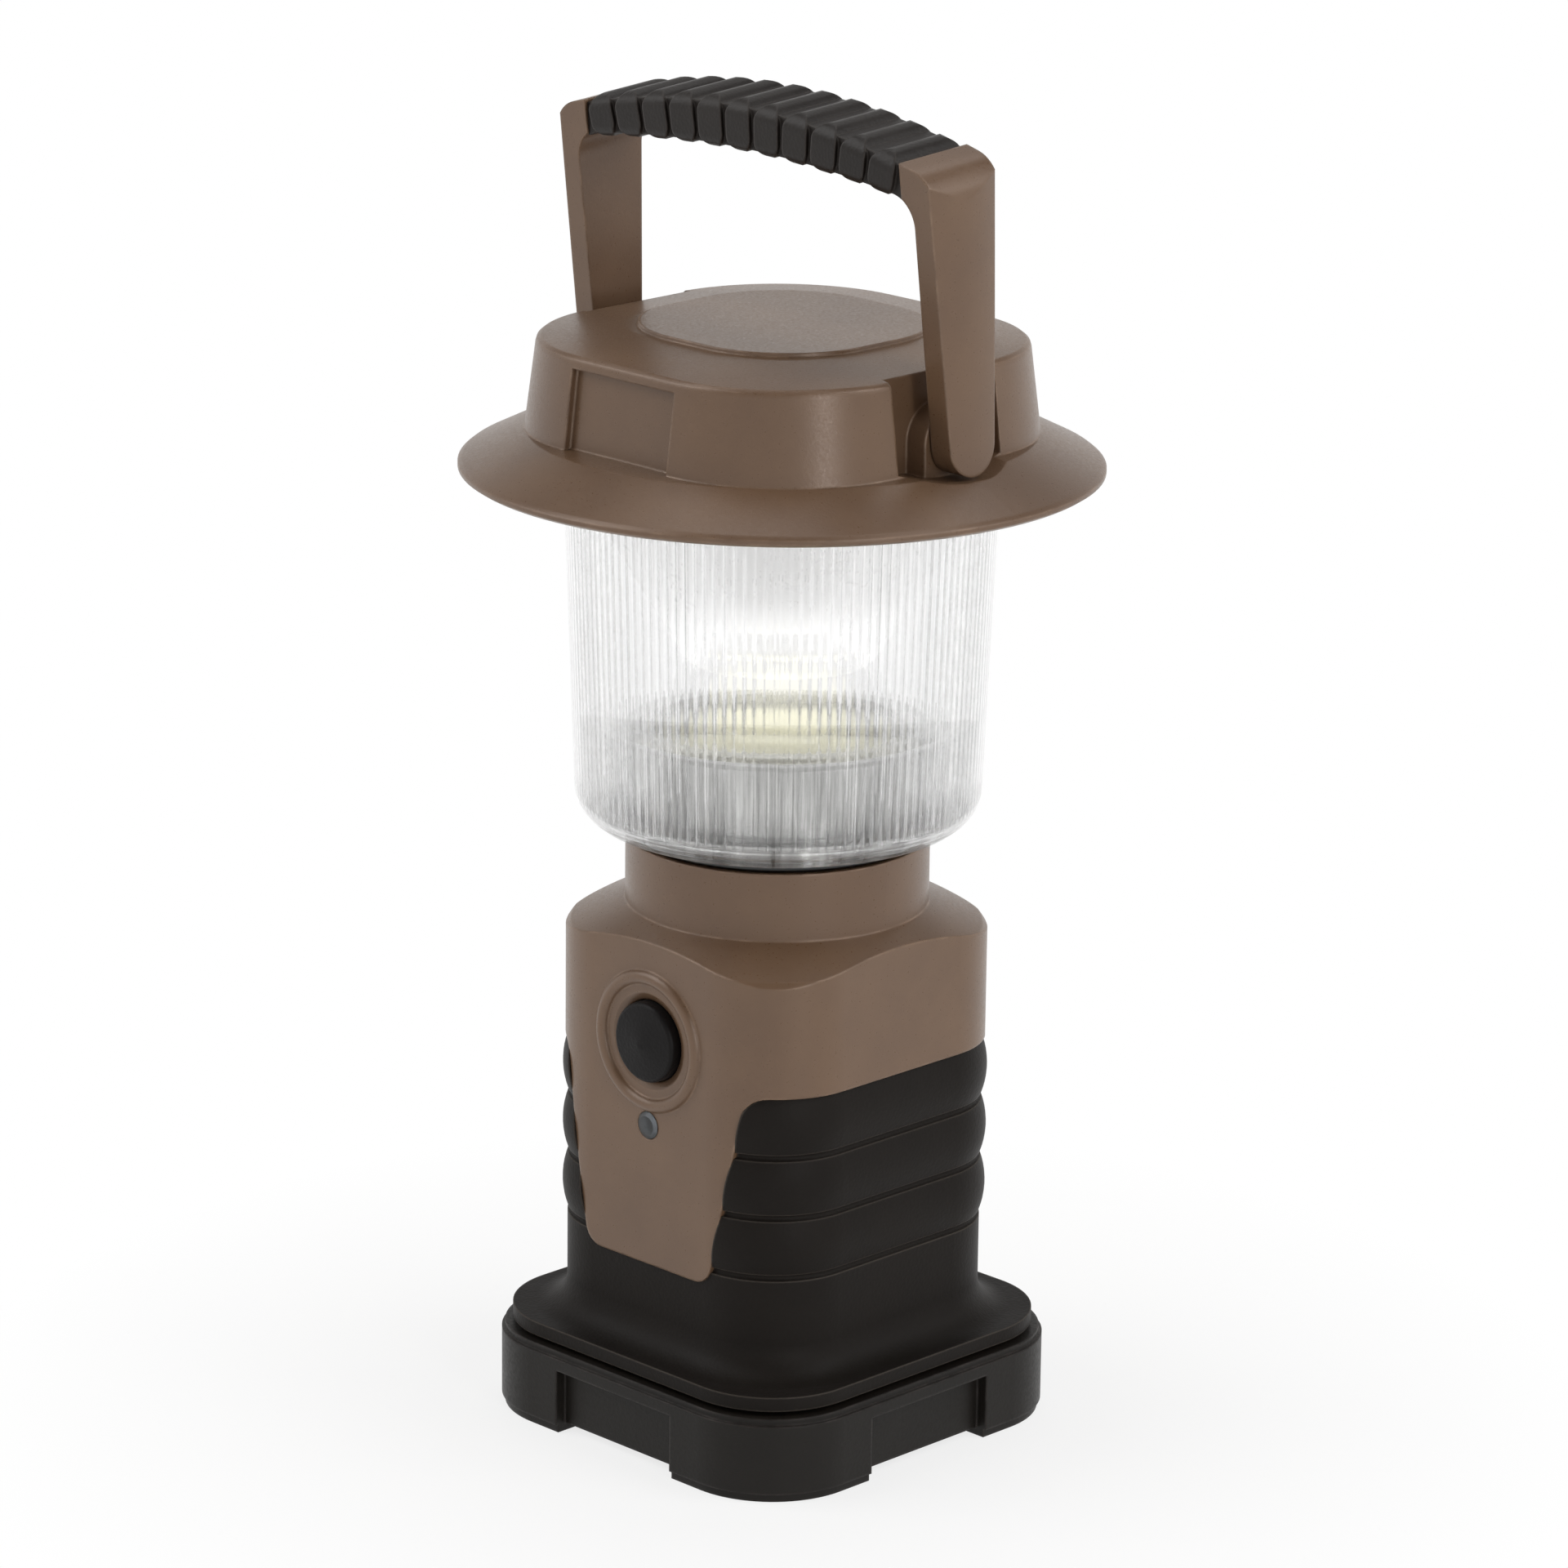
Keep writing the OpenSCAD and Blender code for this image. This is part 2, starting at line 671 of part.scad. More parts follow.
module indicator_lens() color("#8f9698") {
    at_front(indicator_z) rotate_extrude() polygon(concat(
        [[0, -bay_wall - 0.6], [indicator_r - 0.25, -bay_wall - 0.6], [indicator_r - 0.25, -0.5]],
        [[indicator_r - 0.05, -0.5], [indicator_r - 0.05, 0.05]],
        [[indicator_r * 0.7, 0.35], [0, 0.5]]));
}

module indicator_led() color("#e9e4d2") {
    at_front(indicator_z) translate([-1.2, -0.9, -switch_back]) cube([2.4, 1.8, 1.1]);
}

// ---------------------------------------------------------------- driver and wiring

module driver_board() color("#2f6b3c") {
    difference() {
        union() {
            disc(board_r, board_z, board_z + board_t);
            // choke and controller on the upper side
            translate([0, -9.5, 0]) disc(2.6, board_z + board_t, board_z + board_t + 2.6);
            translate([-8.5, 5.2, board_z + board_t]) cube([4, 3, 1.2]);
        }
        disc(insert_boss_r + 0.2, board_z - 1, board_z + board_t + 5);
        for (side = [-1, 1]) translate([side * board_boss_x, 0, 0])
            disc(screw_r + 0.1, board_z - 1, board_z + board_t + 5);
    }
}

module driver_screws() color("#b4b6b8") {
    for (side = [-1, 1]) translate([side * board_boss_x, 0, board_z])
        screw(board_t + 4, screw_r, 1.8, 0.9);
}

module thread_insert() color("#b08d45") {
    difference() {
        disc(insert_r, insert_z, insert_z + insert_h);
        disc(lock_r + run_fit, insert_z - 1, insert_z + insert_h + 1);
    }
}

module lead_wires() {
    for (side = [-1, 1]) color(side > 0 ? "#a5241f" : "#1c1c1e") {
        translate([side * wire_x, wire_y, board_z + board_t])
            cylinder(r = wire_r, h = shelf_z + shelf_t + sink_t - board_z - board_t);
        translate([side * switch_wire_x, -body_half + switch_back + switch_board_t + switch_wire_r,
            switch_head_z - switch_wire_lap])
            cylinder(r = switch_wire_r, h = board_z - switch_head_z + switch_wire_lap);
    }
}

module deck_screws() color("#b4b6b8") {
    ring_of(3, deck_screw_at, 270) translate([0, 0, deck_z])
        screw(deck_t + seal_t + globe_floor_t + 3);
}

// ---------------------------------------------------------------- globe and lamp

// Rubber ring with a round edge, between the neck and the globe
module neck_seal() color("#0e0e0f") {
    rotate_extrude() {
        translate([14, neck_top_z]) square([neck_r - 14 - seal_t / 2 - 0.2, seal_t]);
        translate([neck_r - seal_t / 2 - 0.2, neck_top_z + seal_t / 2]) circle(d = seal_t);
    }
}

// Outline of the globe's inside: soft flutes side by side, like a wave bent round the axis
module flute_outline(r) {
    steps = flute_count * flute_points;
    polygon([for (i = [0:steps - 1]) let (a = i * 360 / steps,
        reach = r + flute_depth * (1 - cos(a * flute_count)) / 2) reach * [cos(a), sin(a)]]);
}

module globe() color("#e8eef0", 0.35) {
    flute_z = holder_z + bowl_corner_r + 0.2;
    ridge = globe_wall + flute_depth;
    foot_r = globe_foot_r - ridge;
    bowl_r = foot_r - 0.2;
    difference() {
        rotate_extrude($fn = 2 * flute_count) polygon(concat([[0, globe_z]],
            arc([globe_foot_r - globe_corner_r, globe_z + globe_corner_r], globe_corner_r, -90, 0, 8),
            [[globe_top_r, globe_top_z], [0, globe_top_z]]));
        rotate_extrude($fn = 2 * flute_count) polygon(concat([[0, holder_z]],
            arc([bowl_r - bowl_corner_r, holder_z + bowl_corner_r], bowl_corner_r, -90, 0),
            [[bowl_r, flute_z + eps], [0, flute_z + eps]]));
        translate([0, 0, flute_z]) linear_extrude(globe_top_z - flute_z + eps,
            scale = (globe_top_r - ridge) / foot_r) flute_outline(foot_r);
        translate([0, wire_y, 0]) disc(wire_x + wire_r + 0.4, globe_z - 1, holder_z + 1);
        ring_of(3, deck_screw_at, 270) disc(screw_r + 0.1, globe_z - 1, holder_z + 1);
    }
    // lugs that lock in the cap's skirt
    for (i = [0:lug_count - 1]) rotate(i * 360 / lug_count + 35)
        rotate_extrude(angle = 20) translate([globe_top_r - 0.6, lug_z]) square([0.6 + lug_reach, lug_h]);
}

module lamp_holder() color("#c2c5c8") {
    wall = 1.2;
    difference() {
        rotate_extrude() polygon([[0, holder_z], [holder_r - 0.5, holder_z],
            [holder_r, holder_top_z - 0.5], [holder_r - 0.5, holder_top_z], [0, holder_top_z]]);
        disc(holder_r - 0.5 - wall, holder_z - 1, shelf_z);
        disc(led_board_r + 0.1, shelf_z + shelf_t, holder_top_z + 1);
        disc(lens_r + 0.1, lens_z, holder_top_z + 1);
        translate([0, 0, holder_top_z - 0.8]) cylinder(r1 = lens_r + 0.1, r2 = lens_r + 1.3, h = 0.81);
        translate([0, wire_y, 0]) disc(wire_x + wire_r + 0.2, holder_z, shelf_z + 2);
        for (side = [-1, 1]) translate([side * led_screw_at, 0, 0])
            disc(0.7, shelf_z - 1, shelf_z + 2);
    }
    ring_of(3, deck_screw_at, 270) difference() {
        disc(2.3, holder_z, shelf_z + eps);
        disc(screw_r, holder_z - 1, holder_z + 3.2);
    }
}

module heat_sink() color("#a7abb0") {
    difference() {
        disc(led_board_r, shelf_z + shelf_t, shelf_z + shelf_t + sink_t);
        translate([0, wire_y, 0]) disc(wire_x + wire_r + 0.2, shelf_z, shelf_z + 5);
        for (side = [-1, 1]) translate([side * led_screw_at, 0, 0]) disc(0.7, shelf_z, shelf_z + 5);
    }
}

module led_board() color("#f2f1ec") {
    z = shelf_z + shelf_t + sink_t;
    difference() {
        disc(led_board_r, z, z + led_board_t);
        for (side = [-1, 1]) translate([side * led_screw_at, 0, 0]) disc(0.7, z - 1, z + 5);
    }
}

module led_emitter() color("#e3d34f") {
    z = shelf_z + shelf_t + sink_t + led_board_t;
    disc(emitter_r, z, z + emitter_t);
}

module led_screws() color("#b4b6b8") {
    z = shelf_z + shelf_t + sink_t + led_board_t;
    for (side = [-1, 1]) translate([side * led_screw_at, 0, z])
        mirror([0, 0, 1]) screw(led_board_t + sink_t + shelf_t, 0.65, 1.1, 0.4);
}

module led_lens() color("#eef3ee", 0.5) {
    crown = 1.2;
    crown_r = (pow(lens_r, 2) + pow(crown, 2)) / (2 * crown);
    edge_z = holder_top_z - 0.7;
    rotate_extrude() intersection() {
        translate([0, edge_z + crown - crown_r]) circle(r = crown_r, $fn = 256);
        translate([0, lens_z]) square([lens_r, edge_z + crown + 1 - lens_z]);
    }
}

// Mirrored cone with a blunt end, hanging from its round plate
module cone_reflector() color("#d5d8da") {
    skin = 1.2;
    plate_r = globe_top_r - globe_wall - flute_depth - 0.5;
    tip_z = plate_z - cone_len;
    nose_r = cone_tip_r * 0.4;
    flank = atan2(cone_root_r - cone_tip_r, cone_len - 2.5);
    nose = [cone_tip_r - nose_r * cos(flank), tip_z + nose_r + 0.3];
    difference() {
        rotate_extrude() polygon(concat([[0, plate_z + plate_t], [plate_r, plate_z + plate_t]],
            [[plate_r, plate_z], [cone_root_r + 1.5, plate_z], [cone_root_r, plate_z - 1]],
            arc(nose, nose_r, -flank, -82, 7), [[0, tip_z]]));
        rotate_extrude() polygon(concat([[0, plate_z + plate_t + eps]],
            [[cone_root_r - skin, plate_z + plate_t + eps]],
            arc(nose, nose_r - skin, -flank, -82, 5), [[0, tip_z + skin]]));
        ring_of(3, cap_screw_at, 30) disc(screw_r + 0.1, plate_z - 1, plate_z + 3);
    }
}

module reflector_screws() color("#b4b6b8") {
    ring_of(3, cap_screw_at, 30) translate([0, 0, plate_z]) screw(plate_t + boss_bite);
}

// ---------------------------------------------------------------- cap

// Dome of the cap, drawn in by the given depth all round
module dome(depth) {
    r = dome_half - dome_at - depth;
    top_r = r - dome_taper;
    z0 = rim_z + 2;
    carry_round(dome_at)
        polygon([[0, z0], [r + 0.15, z0], [r, brim_root_z], [top_r, dome_edge_z - 0.7],
            [top_r - 0.15, dome_edge_z - 0.25], [top_r - 0.6, dome_edge_z + 0.1],
            [pad_half - dome_at, pad_top_z - pad_step], [0, pad_top_z - pad_step]]);
    translate([-dome_at, -dome_at, z0]) cube([2 * dome_at, 2 * dome_at, pad_top_z - pad_step - z0]);
}

module cap_ear() {
    translate([pocket_floor - 1, 0, 0]) rotate([90, 0, 90]) linear_extrude(ear_face - pocket_floor + 1) {
        translate([-ear_half, pocket_floor_z - 0.5]) square([2 * ear_half, pivot_z - pocket_floor_z + 0.5]);
        translate([0, pivot_z]) circle(r = ear_half);
    }
}

// Room for the foot of one leg: its floor is a shallow arch that just dips into the brim
module leg_pocket() {
    intersection() {
        translate([pocket_floor, -pocket_half, pocket_floor_z])
            cube([leg_out + 0.7 - pocket_floor, 2 * pocket_half, 20]);
        translate([pocket_floor - 1, 0, pocket_floor_z + pocket_dip_r]) rotate([0, 90, 0])
            cylinder(r = pocket_dip_r, h = 12);
    }
}

// Cone of the brim, solid down to the rim
module brim_hill() {
    root_r = dome_half + 3.1;
    rotate_extrude() polygon([[0, rim_z], [brim_r - 0.6, rim_z], [brim_r, rim_z + 0.4],
        [brim_r, rim_z + rim_t - 0.4], [brim_r - 0.5, rim_z + rim_t], [root_r, brim_root_z],
        [0, brim_root_z + 1]]);
}

// Room under the brim, which keeps its thickness
module brim_under() {
    root_r = dome_half + 2.6;
    rotate_extrude() polygon([[skirt_r, rim_z - 1], [brim_r - 0.6, rim_z - 1], [brim_r - 1, rim_z],
        [root_r, brim_root_z - 1.7], [skirt_r, brim_root_z - 1.7]]);
}

module top_cap() color("#7d6553") {
    boss_r = 2.4;
    difference() {
        union() {
            difference() {
                dome(0);
                // shallow recesses in the front and the back
                for (turn = [0, 180]) rotate(turn)
                    translate([-pocket_half, -dome_half - 1, brim_root_z - 2])
                        cube([2 * pocket_half, 6, dome_edge_z - 1.3 - brim_root_z + 2]);
            }
            dome(1);
            block(pad_half, pad_half * 0.8, dome_edge_z, pad_top_z);
            difference() {
                brim_hill();
                brim_under();
            }
            disc(skirt_r, rim_z - skirt_drop, rim_z + 3);
        }
        for (turn = [0, 180]) rotate(turn) leg_pocket();
        difference() {
            union() {
                disc(cap_bore_r, rim_z - 2, globe_top_z + 0.1);
                disc(cavity_r, rim_z - 2, cap_roof_z);
                disc(cap_bore_r + lug_reach + 0.1, lug_z - 0.1, lug_z + lug_h + 0.1);
            }
            for (turn = [0, 180]) rotate(turn)
                translate([liner_x, -pocket_half - 1.6, globe_top_z + 0.2])
                    cube([10, 2 * pocket_half + 3.2, 20]);
        }
        for (turn = [0, 180]) rotate(turn) translate([liner_x - 1, 0, pivot_z])
            rotate([0, 90, 0]) cylinder(r = pivot_r + run_fit, h = 20);
    }
    for (turn = [0, 180]) rotate(turn) difference() {
        cap_ear();
        translate([liner_x - 1, 0, pivot_z]) rotate([0, 90, 0]) cylinder(r = pivot_r + run_fit, h = 20);
    }
    ring_of(3, cap_screw_at, 30) difference() {
        disc(boss_r, plate_z + plate_t, cap_roof_z + eps);
        disc(screw_r, plate_z, plate_z + plate_t + boss_bite + 1);
    }
}

// ---------------------------------------------------------------- handle

// Everything of the handle is drawn upright round its pivot and then leans forward
module lean_handle() {
    translate([0, 0, pivot_z]) rotate([handle_lean, 0, 0]) children();
}

// Space under an arch that is drawn in x and height, with round corners
module arch(half, top, arc_r, corner) {
    centre = top - arc_r;
    corner_x = half - corner;
    corner_z = centre + sqrt(pow(arc_r - corner, 2) - pow(corner_x, 2));
    touch_x = corner_x * arc_r / (arc_r - corner);
    intersection() {
        translate([0, centre]) circle(r = arc_r, $fn = 128);
        translate([-touch_x, 0]) square([2 * touch_x, top + 1]);
    }
    for (x = [-corner_x, corner_x]) translate([x, corner_z]) circle(r = corner);
    translate([-half, -leg_foot_half - 1]) square([2 * half, corner_z + leg_foot_half + 1]);
}

// Outline of the handle from the side
module leg_outline() {
    top = handle_reach - 4;
    circle(r = leg_foot_half);
    polygon([[-leg_foot_half, 0], [leg_foot_half, 0], [leg_top_half, top], [leg_top_half, top + 6],
        [-leg_top_half, top + 6], [-leg_top_half, top]]);
}

// Plan of the handle, its two ends gently crowned
module crowned_plan() {
    intersection() {
        for (side = [-1, 1]) translate([side * (leg_out - leg_crown_r), 0]) circle(r = leg_crown_r);
        square([2 * leg_out + 2, 2 * leg_top_half + 2], center = true);
    }
}

// Turns a drawing in x and height into a slab across the handle
module slab(half) {
    rotate([90, 0, 0]) linear_extrude(2 * half, center = true) children();
}

module handle_under() {
    arch(leg_in, handle_reach - arch_mid_t + grip_skin, arch_under_r, handle_inner_r);
}

module handle_core() {
    difference() {
        arch(leg_out, handle_reach - grip_skin - 0.4, arch_r, handle_corner_r);
        handle_under();
    }
}

module handle_frame() color("#7d6553") lean_handle() {
    intersection() {
        slab(leg_top_half + 1) difference() {
            arch(leg_out, handle_reach - 0.4, arch_r, handle_corner_r);
            handle_under();
            translate([-grip_half, 0]) square([2 * grip_half, handle_reach + 1]);
        }
        rotate([90, 0, 90]) linear_extrude(2 * leg_out + 2, center = true) leg_outline();
        translate([0, 0, -leg_foot_half - 1]) linear_extrude(handle_reach + leg_foot_half + 2) crowned_plan();
    }
    intersection() {
        slab(leg_top_half - grip_skin - 0.2) handle_core();
        translate([-grip_half - 1, -leg_top_half, 10])
            cube([2 * grip_half + 2, 2 * leg_top_half, handle_reach]);
    }
    for (turn = [0, 180]) rotate(turn) difference() {
        translate([pin_in, 0, 0]) rotate([0, 90, 0]) cylinder(r = pivot_r, h = leg_in - pin_in + 0.5);
        translate([pin_in - 1, 0, 0]) rotate([0, 90, 0]) cylinder(r = pin_screw_r, h = pin_bite + 1.2);
    }
}

// One rounded rib of the grip in x and height, square to the arch at its place
module grip_rib(turn) {
    under_top = handle_reach - arch_mid_t - arch_under_r;
    x = arch_r * sin(turn);
    top = handle_reach - arch_r + arch_r * cos(turn);
    height = top - under_top - sqrt(pow(arch_under_r, 2) - pow(x, 2));
    translate([0, handle_reach - arch_r]) rotate(-turn) {
        translate([0, arch_r - grip_rib_r]) circle(r = grip_rib_r);
        translate([0, arch_r - height + grip_rib_r]) circle(r = grip_rib_r);
        translate([-grip_rib_r, arch_r - height + grip_rib_r])
            square([2 * grip_rib_r, height - 2 * grip_rib_r]);
    }
}

// Room for the grip above or below an arch, the arch's long edges rounded
module arched_room(top, arc_r, side, edge_r) {
    half = leg_top_half + 0.1;
    depth = 20;
    sweep = 2 * asin(grip_half / arc_r) + 6;
    translate([0, 0, top - arc_r]) rotate([90, 0, 0])
        rotate(90 - sweep / 2) rotate_extrude(angle = sweep, $fn = 256) {
        translate([side > 0 ? arc_r + edge_r : arc_r - edge_r - depth, -half]) square([depth, 2 * half]);
        translate([side > 0 ? arc_r : arc_r - edge_r, edge_r - half]) square([edge_r, 2 * (half - edge_r)]);
        for (y = [-1, 1]) translate([arc_r + side * edge_r, y * (half - edge_r)]) circle(r = edge_r);
    }
}

module handle_grip() color("#1f1c1b") lean_handle() {
    difference() {
        intersection() {
            grip_ribbing();
            arched_room(handle_reach, arch_r, -1, grip_edge_r);
            arched_room(handle_reach - arch_mid_t, arch_under_r, 1, grip_under_edge_r);
        }
        slab(leg_top_half - grip_skin - 0.2) handle_core();
    }
}

// Square bar of the grip with all its ribs
module grip_ribbing() {
    slab(leg_top_half - 0.5) difference() {
        intersection() {
            arch(leg_out, handle_reach - 0.8, arch_r, handle_corner_r);
            translate([-grip_half, 10]) square([2 * grip_half, handle_reach]);
        }
        arch(leg_in, handle_reach - arch_mid_t + 0.5, arch_under_r, handle_inner_r);
    }
    for (k = [0:grip_ribs - 1])
        slab(leg_top_half + 0.2) grip_rib((k - (grip_ribs - 1) / 2) * grip_step);
}

module pivot_washers() color("#b4b6b8") lean_handle() {
    for (turn = [0, 180]) rotate(turn) translate([pin_in - washer_t, 0, 0]) rotate([0, 90, 0])
        difference() {
            cylinder(r = pivot_r + 1.4, h = washer_t);
            translate([0, 0, -1]) cylinder(r = pin_screw_r + run_fit, h = washer_t + 2);
        }
}

module pivot_screws() color("#b4b6b8") lean_handle() {
    for (turn = [0, 180]) rotate(turn) translate([pin_in - washer_t, 0, 0]) rotate([0, 90, 0])
        screw(washer_t + pin_bite, pin_screw_r, 2 * pin_screw_r + 0.1, 1.1);
}

base_cover();
base_seal();
lock_screw();
lock_clip();
battery_carrier();
aa_cells();
cell_springs();
contact_strips();
pickup_springs();
carrier_screws();
body_shell();
grip_sleeve();
power_button();
switch_plunger();
switch_housing();
switch_board();
indicator_lens();
indicator_led();
driver_board();
driver_screws();
thread_insert();
lead_wires();
deck_screws();
neck_seal();
globe();
lamp_holder();
heat_sink();
led_board();
led_emitter();
led_screws();
led_lens();
cone_reflector();
reflector_screws();
top_cap();
handle_frame();
handle_grip();
pivot_washers();
pivot_screws();
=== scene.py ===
"""Small camping lantern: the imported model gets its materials, then light, a floor and a camera."""
import math

import bpy
from mathutils import Matrix, Vector


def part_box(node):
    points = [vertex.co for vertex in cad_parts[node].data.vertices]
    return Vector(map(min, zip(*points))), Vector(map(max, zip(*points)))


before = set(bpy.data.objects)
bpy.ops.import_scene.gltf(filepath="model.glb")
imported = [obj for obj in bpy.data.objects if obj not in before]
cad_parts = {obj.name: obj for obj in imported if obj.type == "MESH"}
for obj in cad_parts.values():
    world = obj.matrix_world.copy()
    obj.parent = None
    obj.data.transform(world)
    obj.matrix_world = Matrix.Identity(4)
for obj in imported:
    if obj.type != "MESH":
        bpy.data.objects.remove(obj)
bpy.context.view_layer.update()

MM = 0.001
WHITE = (1, 1, 1, 1)


# ------------------------------------------------------------------ colour and node helpers

def linear(hex_code):
    """An sRGB hex colour as the linear values that sockets take."""
    parts = [int(hex_code[i:i + 2], 16) / 255 for i in (1, 3, 5)]
    return (*[c / 12.92 if c <= 0.04045 else ((c + 0.055) / 1.055) ** 2.4 for c in parts], 1.0)


def add(tree, kind, inputs=None, **settings):
    """Adds a node, sets its properties, and fills its inputs with values or links from sockets."""
    node = tree.nodes.new(kind)
    for name, value in settings.items():
        setattr(node, name, value)
    for name, value in (inputs or {}).items():
        if isinstance(value, bpy.types.NodeSocket):
            tree.links.new(value, node.inputs[name])
        else:
            node.inputs[name].default_value = value
    return node


def start_material(name, base, roughness, **sockets):
    """A new material with its shader; what is the same all over is set on the shader's sockets."""
    material = bpy.data.materials.new(name)
    material.use_nodes = True
    tree = material.node_tree
    tree.nodes.clear()
    shader = add(tree, "ShaderNodeBsdfPrincipled", {"Base Color": linear(base), "Roughness": roughness})
    for socket, value in sockets.items():
        shader.inputs[socket.replace("_", " ")].default_value = value
    add(tree, "ShaderNodeOutputMaterial", {"Surface": shader.outputs["BSDF"]})
    return material, tree, shader


def place(tree):
    """Object coordinates, in metres."""
    return add(tree, "ShaderNodeTexCoord").outputs["Object"]


def upright(tree, vector):
    """The Z value of a vector."""
    return add(tree, "ShaderNodeSeparateXYZ", {"Vector": vector}).outputs["Z"]


def noise(tree, vector, size_mm, detail=3.0, roughness=0.55):
    """Noise whose blotches are about size_mm across."""
    return add(tree, "ShaderNodeTexNoise", {
        "Vector": vector, "Scale": 1.0 / (size_mm * MM), "Detail": detail,
        "Roughness": roughness}).outputs["Fac"]


def ramp(tree, fac, low, high, out_low, out_high):
    """Maps fac from low..high to out_low..out_high, clamped."""
    return add(tree, "ShaderNodeMapRange", {
        "Value": fac, "From Min": low, "From Max": high,
        "To Min": out_low, "To Max": out_high}).outputs["Result"]


def reckon(tree, operation, first, second):
    """Combines two numbers or sockets by a math operation."""
    return add(tree, "ShaderNodeMath", {0: first, 1: second}, operation=operation).outputs[0]


def mixed(tree, fac, colour_a, colour_b):
    """Mixes two colours or colour sockets."""
    factor_in, a_in, b_in, colour_out = 0, 6, 7, 2
    node = add(tree, "ShaderNodeMix", {factor_in: fac, a_in: colour_a, b_in: colour_b}, data_type="RGBA")
    return node.outputs[colour_out]


def bump(tree, height, depth_mm, normal=None):
    """Bump from a height of 0..1 that stands depth_mm tall."""
    inputs = {"Height": height, "Distance": depth_mm * MM, "Strength": 1.0}
    if normal is not None:
        inputs["Normal"] = normal
    return add(tree, "ShaderNodeBump", inputs).outputs["Normal"]


def soft_edge(tree, radius_mm):
    """Normal that rounds sharp edges by radius_mm, as a mould's radii do."""
    return add(tree, "ShaderNodeBevel", {"Radius": radius_mm * MM}, samples=6).outputs["Normal"]


def edge_mask(tree, rounded):
    """1 on a rounded edge, 0 on the flat, from how far the rounded normal turns from the face's own."""
    flat_cosine, edge_cosine = 0.995, 0.90
    own = add(tree, "ShaderNodeNewGeometry").outputs["Normal"]
    turn = add(tree, "ShaderNodeVectorMath", {0: rounded, 1: own}, operation="DOT_PRODUCT").outputs["Value"]
    return ramp(tree, turn, flat_cosine, edge_cosine, 0.0, 1.0)


# ------------------------------------------------------------------ kinds of material

def moulded_plastic(name, base, shade, roughness, grain_mm, grain_depth_mm, edge_mm, edge_light, **sockets):
    """Injection-moulded plastic: an even colour with slow drift, a spark-eroded grain, and a painted
    highlight that makes the edges lighter in patches."""
    drift_mm, highlight_patch_mm = 14.0, 3.0
    material, tree, shader = start_material(name, base, roughness, **sockets)
    where = place(tree)
    tone_blend = ramp(tree, noise(tree, where, drift_mm, 4.0), 0.35, 0.65, 0.0, 1.0)
    colour = mixed(tree, tone_blend, linear(base), linear(shade))
    rounded = soft_edge(tree, edge_mm)
    # painted highlight: the rounded edges are mixed towards a lighter colour, in patches from noise
    highlight_patches = ramp(tree, noise(tree, where, highlight_patch_mm), 0.4, 0.7, 0.15, 1.0)
    edge_highlight = reckon(tree, "MULTIPLY", edge_mask(tree, rounded), highlight_patches)
    tree.links.new(mixed(tree, edge_highlight, colour, linear(edge_light)), shader.inputs["Base Color"])
    grain = noise(tree, where, grain_mm, 2.0, 0.6)
    gloss = ramp(tree, grain, 0.3, 0.7, roughness - 0.05, roughness + 0.07)
    tree.links.new(gloss, shader.inputs["Roughness"])
    tree.links.new(bump(tree, grain, grain_depth_mm, rounded), shader.inputs["Normal"])
    return material


def polished_clear(name, tint, roughness, ior, **sockets):
    """Clear polycarbonate or acrylic: see-through and a little wavy, as a mould leaves it."""
    wave_mm, wave_depth_mm = 9.0, 0.03
    material, tree, shader = start_material(
        name, tint, roughness, IOR=ior, Transmission_Weight=1.0, **sockets)
    wave = noise(tree, place(tree), wave_mm, 1.0)
    tree.links.new(bump(tree, wave, wave_depth_mm), shader.inputs["Normal"])
    return material


def worked_metal(name, base, shade, roughness, scratch_and_streak_mm, edge_mm=0.1, streak=0.0):
    """Plain metal: a drawn or plated surface with fine random scratches that break up the gloss.
    A streak factor draws its colour out into upright lines too, as painted streaks of light and shade."""
    plain_stretch, drift_mm, scratch_depth_mm = 0.12, 6.0, 0.004
    material, tree, shader = start_material(name, base, roughness, Metallic=1.0)
    where = place(tree)
    drawn_out = add(tree, "ShaderNodeMapping", {
        "Vector": where, "Scale": (1.0, 1.0, streak or plain_stretch)}).outputs["Vector"]
    scratches_and_streaks = noise(tree, drawn_out, scratch_and_streak_mm, 4.0, 0.7)
    # with a streak factor this blend paints bright and dark upright streaks of light and shade into the
    # colour
    tone_blend = ramp(tree, scratches_and_streaks if streak else noise(tree, where, drift_mm, 3.0), 0.3, 0.7, 0.0, 1.0)
    tree.links.new(mixed(tree, tone_blend, linear(base), linear(shade)), shader.inputs["Base Color"])
    gloss = ramp(tree, scratches_and_streaks, 0.3, 0.7, roughness - 0.06, roughness + 0.1)
    tree.links.new(gloss, shader.inputs["Roughness"])
    rounded = soft_edge(tree, edge_mm)
    tree.links.new(bump(tree, scratches_and_streaks, scratch_depth_mm, rounded), shader.inputs["Normal"])
    return material


